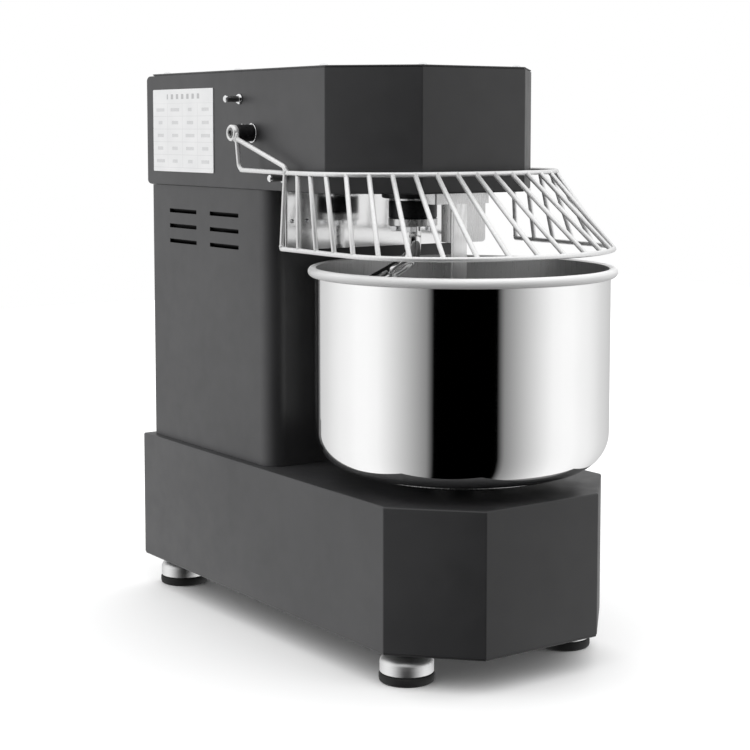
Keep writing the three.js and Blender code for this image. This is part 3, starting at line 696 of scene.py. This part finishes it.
def head_shell():
    low, high = head_low, head_high
    outer = housing(low, high, HEAD_CUT, [*rolled_edge(2.5 * MM, low.z, False), (0, high.z)])
    rounding = prism_x(side_profile(low, high, HEAD_REAR_CORNER), low.x - PAST, high.x + PAST)
    outer = combine(outer, rounding, operation="INTERSECT")
    inner = housing(low, high, HEAD_CUT, [(SHEET, low.z + SHEET), (SHEET, high.z + PAST)])
    spindle, hub = centre("spindle_shaft"), centre("guard_hub_left")
    button_hole = around(0, 0, (0, -15), (12.2, -15), (12.2, 10), (0, 10))
    cuts = [
        drill(36.4 * MM, PAST, (spindle.x, spindle.y, low.z)),
        drill(6.5 * MM, high.x + PAST, (0, hub.y, hub.z), "X", 32),
        column_opening(low.z),
        *(lathe(button_hole, centre(button), "X", 32) for button in BUTTONS),
    ]
    piece("head_shell", combine(outer, inner, *cuts), PAINT, "head_housing")


def head_lid():
    low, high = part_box("head_top_cover")
    gap_in, gap_top = 1.4 * MM, low.z + 0.8 * MM  # the dark line under the lid
    rows = [(gap_in, low.z), (gap_in, gap_top), (0.3 * MM, gap_top + 0.1 * MM)]
    rows += rolled_edge(1.2 * MM, high.z)
    piece("head_lid", housing(low, high, HEAD_CUT, rows), PAINT, "head_top_cover")
    edge = 9 * MM
    places = [(side * (high.x - edge), y) for side in (-1, 1) for y in (307 * MM, 113 * MM, -90 * MM)]
    places += [(side * 72 * MM, low.y + edge) for side in (-1, 1)]
    screw_set("head_lid_screws", [(*place, high.z - 0.1 * MM) for place in places], "Z", 1, 5 * MM)


def head_rear_strip():
    """Strip that closes the back of the head's top and follows its rounded rear edge."""
    low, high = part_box("head_rear_strip")
    r = HEAD_REAR_CORNER
    y, z = head_high.y - r, high.z - r
    end = 90 - math.degrees(math.asin((high.y - y) / r))
    outline = [(low.y, high.z), *arc(y, z, r, 90, end, 6), *arc(y, z, r - SHEET, end, 90, 6), (low.y, low.z)]
    piece("head_back_strip", prism_x(outline, low.x, high.x), PAINT, "head_rear_strip")


def spec_plate():
    low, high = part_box("spec_label")
    outline = rounded(rect(low.y, high.y, low.z, high.z), 1.5 * MM, 3)
    piece("spec_plate", prism_x(outline, low.x, high.x), LABEL, "spec_label")


def splash_shield():
    """Flat sheet on the column's front, folded back down each side and held by rivets."""
    low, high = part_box("splash_cover")
    body = slab(sheet_u(high.x, low.y, high.y, 2.6 * MM, 1.5 * MM), low.z, high.z)
    piece("splash_shield", body, SHIELD, "splash_cover", slot="stainless", smooth=30)
    places = [(x * MM, low.y, 536 * MM) for x in (-126, -104, 104, 126)]
    screw_set("splash_shield_rivets", places, "Y", -1, 2.6 * MM, slotted=False)


# ---------------------------------------------------------------- bowl and turntable
def bowl_profile(low, high):
    """Outside from the axis up to the bead, over it and down the inside, as (radius, height)."""
    bend = low.z + BOWL_CORNER
    outside = arc(BOWL_R - BOWL_CORNER, bend, BOWL_CORNER, -90, 0, 16)
    under, over = (math.degrees(math.acos(reach / BEAD_R)) for reach in (BEAD_OUT, BEAD_OUT + BOWL_WALL))
    roll = arc(BOWL_R + BEAD_OUT, high.z - BEAD_R, BEAD_R, under - 180, 180 - over, 22)
    inside = arc(BOWL_R - BOWL_CORNER, bend, BOWL_CORNER - BOWL_WALL, 0, -90, 14)
    return [(0, low.z), *outside, (BOWL_R, bend + 80 * MM), *roll, *inside, (0, low.z + BOWL_WALL)]


def mixing_bowl():
    low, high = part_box("bowl")
    at = centre("bowl")
    bm = lathe(bowl_profile(low, high), (at.x, at.y, 0), "Z", 144)
    bowl = piece("mixing_bowl", bm, MIRROR, "bowl", smooth=30)
    bowl.data.materials.append(BEAD)
    bowl.data.materials.append(INSIDE)
    bead_low = high.z - 2 * BEAD_R - 0.6 * MM
    for face in bowl.data.polygons:
        spot = face.center - Vector((at.x, at.y, 0))
        reach = math.hypot(spot.x, spot.y)
        inwards = face.normal.x * spot.x + face.normal.y * spot.y < 0
        if spot.z > bead_low and (reach > BOWL_R + 0.3 * MM or face.normal.z > 0.2):
            face.material_index = 1
        elif inwards or (face.normal.z > 0.2 and reach < BOWL_R):
            face.material_index = 2


def turned(name, profile, at, sides, material, node=None, **more):
    """Piece of revolution round an upright axis."""
    return piece(name, lathe(profile, (at.x, at.y, 0), "Z", sides), material, node, **{"smooth": 35, **more})


def bowl_table():
    low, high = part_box("bowl_turntable")
    under = high.z - 4.5 * MM
    profile = around(0, low.z, (0, 0), (16, 0), (17, 1))
    profile += around(0, 0, (17, 222), (38.5, 222), (40, 223.5))
    profile += [*around(0, under, (40, -2), (42, 0)), *around(high.x, under, (-1.2, 0), (0, 1.2))]
    profile += [*around(high.x, high.z, (0, -1.2), (-1.2, 0)), (0, high.z)]
    turned("bowl_table", profile, centre("bowl_turntable"), 96, KNURLED, "bowl_turntable", slot="stainless")


def bowl_seat():
    low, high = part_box("bowl_bearing")
    profile = around(0, low.z, (17.5, 0), (36, 0), (38, 2))
    profile += around(0, base_high.z, (38, -1), (42.4, -1), (42.4, 0.3), (57.4, 0.3), (58, 1))
    profile += around(0, high.z, (56.5, 0), (24, 0), (22, -1.2), (17.5, -1.2))
    turned("bowl_seat", profile, centre("bowl_bearing"), 72, IRON, "bowl_bearing")


# ---------------------------------------------------------------- spindle, hook and divider
def spindle_flange():
    low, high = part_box("spindle_bearing")
    at = centre("spindle_bearing")
    profile = around(0, low.z, (12.9, 0), (37.5, 0), (39.2, 0.7), (40, 2.4))
    profile += around(0, head_low.z - GAP, (40, -0.8), (39.2, 0), (36, 0))
    profile += [*around(0, head_low.z, (36, 40), (26, 46)), *around(0, high.z, (26, 0), (12.9, 0))]
    turned("spindle_flange", profile, at, 72, BLACK_OXIDE, "spindle_bearing")
    ring = around(0, low.z, (27, -3.2), (30, -3.2), (30.5, -2.6), (30.5, -0.2), (27, -0.2))
    turned("spindle_seal_ring", ring, at, 64, CHROME, slot="chrome")


def hook_hub():
    low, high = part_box("spiral_hub")
    r, bend = high.x, 3 * MM
    profile = [(12.8 * MM, low.z), *around(r, low.z, (-1, 0), (0, 1)), (r, high.z - bend)]
    turn = (0.4, 0.8, 1.2, 1.57)
    profile += [(r - bend + bend * math.cos(a), high.z - bend + bend * math.sin(a)) for a in turn]
    profile.append((12.8 * MM, high.z))
    turned("hook_hub", profile, centre("spiral_hub"), 72, BLACK_OXIDE, "spiral_hub")


def hook_path(top, low):
    """Middle line of the hook: down the shaft, out to one side, then round and down inside the bowl."""
    at = centre("spiral_hub")
    start, turns, coil_top = 155, 1.2, 452 * MM
    lean = math.radians(start - 40)
    shoulder = around(0, 0, (0, 505), (6, 486), (34, 468))
    points = [(0, 0, top), *((out * math.cos(lean), out * math.sin(lean), z) for out, z in shoulder)]
    for t in (i / 20 for i in range(21)):
        a = math.radians(start + 360 * turns * t)
        reach = HOOK_SWEEP * (1 - 2.2 * (t - 0.85) if t > 0.85 else 1)
        points.append((reach * math.cos(a), reach * math.sin(a), coil_top + (low + HOOK_BAR - coil_top) * t))
    return [Vector((x, at.y + y, z)) for x, y, z in points]


def dough_hook():
    low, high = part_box("spiral_hook")
    at = centre("spiral_hub")
    top = high.z
    bar = sweep(smooth_path(hook_path(top - 5 * MM, low.z + 2 * MM), 6), HOOK_BAR, 28)
    piece("dough_hook", bar, HOOK_STEEL, "spiral_hook", smooth=50)
    profile = around(0, top, (0, -10), (30.6, -10), (31.5, -9.1), (31.5, -0.9), (30.6, 0), (0, 0))
    flange = lathe(profile, (at.x, at.y, 0), "Z", 72)
    slit = block((6 * MM, at.y - 40 * MM, top - 11 * MM), (8.2 * MM, at.y - 9 * MM, top + MM))
    piece("hook_flange", combine(flange, slit), BRUSHED, body="spiral", slot="stainless", smooth=35)
    bolts = bmesh.new()
    across_flats, under = 13 * MM, top - 10.1 * MM
    for x, y in arc(0, at.y, 22 * MM, 45, 315, 3):
        slab(hexagon(x, y, across_flats / math.sqrt(3)), under - 7 * MM, under, bolts)
    piece("hook_bolts", bolts, CHROME, body="spiral", slot="steel", bevel=(0.6 * MM, 2))


def divider_blade():
    low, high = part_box("divider_bar")
    blade = slab(rounded(rect(low.x, high.x, low.y, high.y), 0.8 * MM, 3), low.z, high.z)
    piece("divider_post", blade, BAR, "divider_bar", slot="stainless", smooth=35)


def divider_bracket():
    """Cap under the head, a stem behind the blade and a wing to the right, with a slot for the blade."""
    bar_low, bar_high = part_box("divider_bar")
    low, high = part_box("divider_socket")
    cap_low = 562 * MM
    cap = slab(rounded(rect(low.x, high.x, low.y, high.y), 2.5 * MM, 4), cap_low, high.z)
    stem = slab(rounded(rect(bar_low.x, bar_high.x, bar_low.y + MM, high.y), MM, 3), low.z, cap_low + MM)
    corner = arc(high.x - 5 * MM, low.z + 5 * MM, 5 * MM, -90, 0, 6)
    outline = [(bar_high.x - MM, cap_low + MM), (bar_high.x - MM, low.z), *corner, (high.x, cap_low + MM)]
    wing = prism_y(outline, -160 * MM, -156 * MM)
    bracket = combine(combine(cap, stem, operation="UNION"), wing, operation="UNION")
    gap = Vector((GAP, GAP, GAP))
    slot = block(bar_low - gap, bar_high + gap)
    in_front = block((low.x - MM, low.y - MM, low.z - MM), (high.x + MM, bar_low.y + GAP, cap_low))
    bracket = combine(bracket, slot, in_front)
    piece("divider_bracket", bracket, BRUSHED, "divider_socket", slot="steel", smooth=35)


# ---------------------------------------------------------------- guard
pivot = centre("guard_hub_left")


def rail(shape, count):
    """Points evenly spaced along a rail, from its left end round the front to its right end."""
    half, mid, depth, curve, z = shape.values()

    def bulge(t):
        return math.copysign(abs(t) ** (2 / curve), t)

    turn = [math.pi * i / 160 for i in range(161)]
    dense = [Vector((-half, RAIL_BACK + (mid - RAIL_BACK) * i / 30, z)) for i in range(30)]
    dense += [Vector((-half * bulge(math.cos(a)), mid - depth * bulge(math.sin(a)), z)) for a in turn]
    dense += [Vector((half, mid + (RAIL_BACK - mid) * i / 30, z)) for i in range(1, 31)]
    run = [0.0]
    for a, b in zip(dense, dense[1:]):
        run.append(run[-1] + (b - a).length)
    made, k = [], 0
    for i in range(count):
        want = run[-1] * i / (count - 1)
        while k < len(run) - 2 and run[k + 1] < want:
            k += 1
        made.append(dense[k].lerp(dense[k + 1], (want - run[k]) / (run[k + 1] - run[k])))
    return made


def arm(side):
    """Wire from the eye straight down, round a tight bend and forward into the top rail."""
    x, y = EYE_X, pivot.y - 9.4 * MM
    eye = Vector((side * x, y, pivot.z - MM))
    corner = Vector((side * (x - 3 * MM), y - 2 * MM, RAIL_TOP["z"] + 2 * MM))
    join = Vector((side * RAIL_TOP["half"], RAIL_BACK + 20 * MM, RAIL_TOP["z"] + 0.4 * MM))
    return bent_path([eye, corner, join], 10 * MM)


def guard_rails():
    rails = sweep(smooth_path([*arm(-1), *rail(RAIL_TOP, 44), *arm(1)[::-1]], 4), WIRE_R, 18)
    sweep(smooth_path(rail(RAIL_LOW, 50), 4), WIRE_R, 18, rails)
    piece("guard_rails", rails, WIRE, "guard_cage", smooth=60)


def guard_rods():
    """Rods from rail to rail, a stay at each end from the eye to the lower rail, and the welds on them."""
    rods, welds = bmesh.new(), bmesh.new()
    for top, foot in list(zip(rail(RAIL_TOP, RODS), rail(RAIL_LOW, RODS)))[1:-1]:
        lean = (foot - top).normalized()
        sweep([top - lean * MM, foot + lean * MM], WIRE_R, 14, rods)
        for spot in (top + lean * 2.6 * MM, foot - lean * 2.6 * MM):
            ball(welds, spot, 3.3 * MM, (1, 1, 0.8))
    for side in SIDES.values():
        eye = Vector((side * EYE_X, pivot.y - 7.3 * MM, pivot.z - 6.6 * MM))
        elbow = Vector((side * RAIL_TOP["half"], RAIL_BACK, RAIL_TOP["z"] + 7 * MM))
        end = Vector((side * RAIL_LOW["half"], RAIL_BACK, RAIL_LOW["z"]))
        sweep(bent_path([eye, elbow, end], 9 * MM, 8), WIRE_R, 18, rods)
        ball(welds, elbow + Vector((0, -MM, -6 * MM)), 4.4 * MM)
        ball(welds, eye + Vector((0, -MM, -MM)), 4.6 * MM, (0.8, 1, 1))
        ball(welds, end + Vector((0, 0, 3 * MM)), 3.6 * MM, (1, 1, 0.8))
    piece("guard_rods", rods, WIRE, body="guard", slot="wire", smooth=60)
    piece("guard_welds", welds, WELD, body="guard", slot="wire", smooth=60)


def guard_eyes():
    eyes = bmesh.new()
    profile = around(0, 0, (6.3, -2.9), (7.4, -4), (9.4, -4), (10.5, -2.9))
    profile += [(r, -h) for r, h in profile[::-1]]
    for side in SIDES.values():
        lathe(profile, (side * EYE_X, pivot.y, pivot.z), "X", 40, eyes)
    piece("guard_eyes", eyes, WIRE, body="guard", slot="wire", smooth=50)


def outwards(profile, node, at, side, sides, bm=None):
    """Solid of revolution that grows away from the head, from the inner end of a node's box."""
    low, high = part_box(node)
    inner = low.x if side > 0 else high.x
    return lathe([(r, side * h) for r, h in profile], (inner, at.y, at.z), "X", sides, bm)


def guard_boss(word, side):
    node = "guard_hub_" + word
    low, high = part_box(node)
    profile = around(0, 0, (6.4, 0), (10.4, 0), (11, 0.6))
    profile += around(0, high.x - low.x, (11, -0.8), (10.2, 0), (6.4, 0))
    hub = outwards(profile, node, pivot, side, 48)
    piece("guard_boss_" + word, hub, BLACK_OXIDE, node, smooth=35)
    profile = around(0, 0, (0, 9.5), (2.6, 9.5), (2.6, 11.6), (1.6, 11.9), (1.5, 11), (0, 11))
    screw = lathe(profile, ((low.x + high.x) / 2, pivot.y, pivot.z), "Z", 18)
    piece("guard_boss_screw_" + word, screw, CHROME, body="guard", slot="steel", smooth=35)


def guard_washer(word, side):
    node = "hinge_washer_" + word
    profile = around(0, 0, (6.5, 0), (12, 0), (12.5, 0.5), (12.5, 1.1), (12, 1.5), (6.5, 1.5))
    washer = outwards(profile, node, pivot, side, 48)
    piece("guard_washer_" + word, washer, CHROME, node, smooth=35)


def stop_pin(word, side, level):
    node = f"stop_pin_{level}_{word}"
    low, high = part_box(node)
    length, at, name = high.x - low.x, centre(node), f"stop_{level}_{word}"
    shank = [*around(0, 0, (0, 0), (3.9, 0)), *around(0, length, (3.9, -3), (0, -3))]
    cap = around(0, length, (0, -3.2), (4.5, -3.2), (4.5, -1), (3.5, 0), (0, 0))
    collar = around(0, 0, (4, 0), (6.2, 0), (7, 0.7), (6.6, 2), (5.4, 3), (4, 3))
    piece(name + "_shank", outwards(shank, node, at, side, 32), AXLE, node, slot="black_plastic", smooth=35)
    bright = outwards(cap, node, at, side, 32)
    outwards(collar, node, at, side, 40, bright)
    piece(name + "_ends", bright, CHROME, slot="chrome", smooth=35)


def guard_axle():
    low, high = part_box("guard_shaft")
    length = high.x - low.x
    profile = around(0, 0, (0, 3), (2.6, 3), (3.2, 0.5), (3.6, 0), (5.2, 0), (6, 0.8))
    profile += [(r, length - h) for r, h in profile[::-1]]
    piece("guard_axle", lathe(profile, (low.x, pivot.y, pivot.z), "X", 40), AXLE, "guard_shaft", smooth=35)


# ---------------------------------------------------------------- feet and controls
def foot(place):
    pad, cup = "foot_pad_" + place, "foot_cup_" + place
    at = centre(pad)
    low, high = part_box(pad)
    r = high.x - at.x
    profile = [(0, 0), *around(r, 0, (-2.4, 0), (-0.6, 1.2), (0, 3.4))]
    profile += [*around(r, high.z, (0, -2.5), (-0.8, -0.6), (-2, 0)), (0, high.z)]
    turned("foot_rubber_" + place, profile, at, 64, RUBBER, pad, smooth=40)
    low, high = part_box(cup)
    r = high.x - at.x
    profile = [(0, low.z), *around(r, low.z, (-1, 0), (0, 1), (0, 12.6), (-1.2, 15.6), (-3.2, 18.4))]
    profile += [*around(r, low.z, (-7, 21.6), (-12, 24.8), (-15, 27)), (r - 16.5 * MM, high.z), (0, high.z)]
    turned("foot_chrome_" + place, profile, at, 64, FOOT_CHROME, cup, smooth=40)


def switch_panel():
    low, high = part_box("switch_plate")
    outline = rounded(rect(low.y, high.y, low.z, high.z), 5 * MM, 6)
    wells = [drill(12.2 * MM, 2 * PAST, centre(button), "X", 40) for button in BUTTONS]
    bezel = combine(prism_x(outline, low.x, high.x), *wells)
    piece("switch_bezel", bezel, PLASTIC, "switch_plate", smooth=35)
    rings = bmesh.new()
    profile = around(0, 0, (12.3, -0.2), (15.5, -0.2), (15.5, 1.2), (14.6, 2.2), (12.9, 2.2), (12.3, 1.6))
    for at in map(centre, BUTTONS):
        lathe(profile, (high.x, at.y, at.z), "X", 48, rings)
    piece("switch_rings", rings, CHROME, slot="chrome", smooth=35)
    edge = 6 * MM
    places = [(high.x, y, z) for y in (low.y + edge, high.y - edge) for z in (low.z + edge, high.z - edge)]
    screw_set("switch_screws", places, "X", 1, 3 * MM)


def button_cap(button, material):
    low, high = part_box(button)
    at = centre(button)
    r, length = high.y - at.y, high.x - low.x
    profile = [(0, 0), (r, 0), *around(r, length, (0, -2), (-0.5, -0.8), (-1.6, 0), (-3, -0.1))]
    profile += [(r * 0.4, length - 0.8 * MM), (0, length - 0.9 * MM)]
    piece(button + "_cap", lathe(profile, (low.x, at.y, at.z), "X", 48), material, button, smooth=35)


def cord_gland():
    at = centre("cable_gland")
    back = column_high.y - 2 * MM
    thread = around(0, 0, (0, -18), (8, -18), (8, 0.4), (0, 0.4))
    dome = around(0, 0, (4.2, 6.9), (11, 6.9), (11, 10), (9.6, 12.6), (7, 14), (4.6, 14), (4.2, 13.4))
    bm = lathe(thread, (at.x, back, at.z), "Y", 40)
    prism_y(rounded(hexagon(at.x, at.z, 13 * MM), 1.2 * MM, 2), back + 0.4 * MM, back + 7 * MM, bm)
    lathe(dome, (at.x, back, at.z), "Y", 40, bm)
    piece("cord_gland", bm, PLASTIC, "cable_gland", smooth=35)


# ---------------------------------------------------------------- studio
def dress_cad_nodes():
    for name, obj in frame["nodes"].items():
        for holder in obj.material_slots:
            holder.material = BY_SLOT[SLOT_OF[name]]


def camera():
    data = bpy.data.cameras.new("camera")
    data.lens = CAMERA["lens"]
    data.shift_y = CAMERA["shift"]
    data.clip_end = 50
    made = bpy.data.objects.new("camera", data)
    made.location = CAMERA["place"]
    made.rotation_euler = (math.radians(90 - CAMERA["pitch"]), 0, math.radians(-CAMERA["yaw"]))
    bpy.context.scene.collection.objects.link(made)
    bpy.context.scene.camera = made


def floor():
    bm = bmesh.new()
    bmesh.ops.create_grid(bm, x_segments=1, y_segments=1, size=4)
    mesh = bpy.data.meshes.new("studio_floor")
    bm.to_mesh(mesh)
    bm.free()
    made = bpy.data.objects.new("studio_floor", mesh)
    bpy.context.scene.collection.objects.link(made)
    look = Look("studio_floor").set(Metallic=0.0, Roughness=0.9, Specular_IOR_Level=0.1)
    look.colour(look.ramp(look.noise(0.6, 2), (0.3, 0.93), (0.7, 0.95)))
    mesh.materials.append(look.material)
    made.visible_glossy = made.visible_diffuse = False
    return made


def lamp(name, place, aim, size, power, lit):
    """Square area lamp that lights only the objects in lit and is never seen itself."""
    data = bpy.data.lights.new(name, "AREA")
    data.size, data.energy = size, power
    made = bpy.data.objects.new(name, data)
    made.location = place
    made.rotation_euler = (Vector(aim) - Vector(place)).to_track_quat("-Z", "Y").to_euler()
    made.visible_camera = made.visible_glossy = False
    bpy.context.scene.collection.objects.link(made)
    receivers = bpy.data.collections.new(name + "_receivers")
    for obj in lit:
        receivers.objects.link(obj)
    made.light_linking.receiver_collection = receivers


def studio_lamps():
    ground = floor()
    things = [o for o in bpy.data.objects if o.type == "MESH" and o != ground]
    painted = [o for o in things if o.data.materials and o.data.materials[0] == PAINT]
    beside, body = (-3, 1.5, 0.7), (0, 0.1, 0.45)
    lamp("overhead", (-0.3, -0.6, 3.0), (0, 0, 0), 3.5, 60, things)
    lamp("floor_wash", (0, 0, 1.2), (0, 0, 0), 24, 1000, [ground])
    lamp("paint_key", beside, body, 1.5, 170, painted)
    lamp("label_fill", beside, body, 1.5, 30, [bpy.data.objects["spec_plate"]])


def studio_world():
    """Plain white to the camera; mirrors see walls of changing brightness under a white ceiling."""
    world = bpy.data.worlds.new("studio")
    bpy.context.scene.world = world
    world.use_nodes = True
    world.node_tree.nodes.clear()
    sky = Nodes(world.node_tree)
    parts = sky.node("ShaderNodeSeparateXYZ")
    sky.feed(parts.inputs[0], sky.node("ShaderNodeTexCoord").outputs["Generated"])
    x, y, z = (parts.outputs[k] for k in "XYZ")
    level = sky.maths("ADD", sky.times(x, x), sky.times(y, y))
    along = sky.maths("ADD", sky.times(x, FACING[0]), sky.times(y, FACING[1]))
    side = sky.maths("SQRT", sky.maths("MAXIMUM", 0.0, sky.maths("SUBTRACT", level, sky.times(along, along))))
    # This measure keeps the edge of a wall straight in the mirror of the bowl's rounded bottom.
    angle = sky.times(sky.maths("ARCTAN2", side, sky.maths("ADD", along, 1.0001)), 2 / math.pi)
    walls = sky.ramp(angle, *((degrees / 180, tone) for degrees, tone in WALLS))
    seen, plain = sky.node("ShaderNodeBackground"), sky.node("ShaderNodeBackground")
    sky.feed(seen.inputs["Color"], sky.mix(sky.ranged(z, 0, 1, 0.35, 0.65), walls, (1, 1, 1, 1)))
    plain.inputs["Color"].default_value = (1, 1, 1, 1)
    choose = sky.node("ShaderNodeMixShader")
    sources = (sky.node("ShaderNodeLightPath").outputs["Is Camera Ray"], seen.outputs[0], plain.outputs[0])
    for slot, source in zip(choose.inputs, sources):
        sky.feed(slot, source)
    sky.feed(sky.node("ShaderNodeOutputWorld").inputs[0], choose.outputs[0])


# ---------------------------------------------------------------- assembly
camera()
for build in (
    base_shell, base_tray, column_shell, column_louvres, column_back, head_shell, head_lid, head_rear_strip,
    spec_plate, splash_shield, mixing_bowl, bowl_table, bowl_seat, spindle_flange, hook_hub, dough_hook,
    divider_blade, divider_bracket, guard_rails, guard_rods, guard_eyes,
):
    build()
for word, side in SIDES.items():
    guard_boss(word, side)
    guard_washer(word, side)
    for level in ("low", "high"):
        stop_pin(word, side, level)
guard_axle()
for place in ("front_left", "front_right", "rear_left", "rear_right"):
    foot(place)
switch_panel()
for button, material in BUTTONS.items():
    button_cap(button, material)
cord_gland()
dress_cad_nodes()
studio_world()
studio_lamps()
bpy.context.scene.view_settings.view_transform = "Standard"
